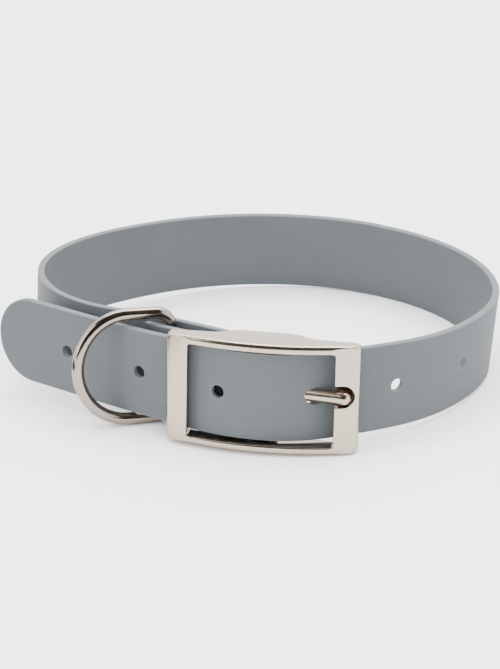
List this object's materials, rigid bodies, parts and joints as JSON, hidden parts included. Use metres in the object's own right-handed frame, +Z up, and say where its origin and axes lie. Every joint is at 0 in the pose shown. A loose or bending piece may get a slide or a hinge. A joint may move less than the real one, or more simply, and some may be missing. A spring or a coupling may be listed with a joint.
{
  "type": "dog collar",
  "caption": "Grey coated-strap dog collar buckled into a loop, with a rounded rectangular metal buckle, a round prong and a welded D-ring beside it.",
  "frame": {"origin": "centre of the collar's bounding box at the surface it stands on", "axes": "+X to the right along the buckle as seen from in front of it, +Y from the buckle across the loop to its back, +Z up along the strap's width"},
  "size_m": [0.1424, 0.1294, 0.0351],
  "materials": {
    "coated_grey_strap": "matte coated webbing",
    "satin_nickel": "satin nickel plate",
    "polished_nickel_wire": "polished nickel plate"
  },
  "bodies": {
    "collar": {"strap": "coated_grey_strap", "buckle_frame": "satin_nickel", "prong": "satin_nickel", "rivet_buckle_side": "satin_nickel", "rivet_end_side": "satin_nickel"},
    "ring": {"d_ring": "polished_nickel_wire"}
  },
  "joints": [
    {"name": "d_ring_swing", "type": "hinge", "parent": "collar", "child": "ring", "pos_m": [-0.01734, -0.04315, 0.01709], "axis": [0.0251, 0.0781, 0.9966], "range_deg": [-8, 56]}
  ]
}
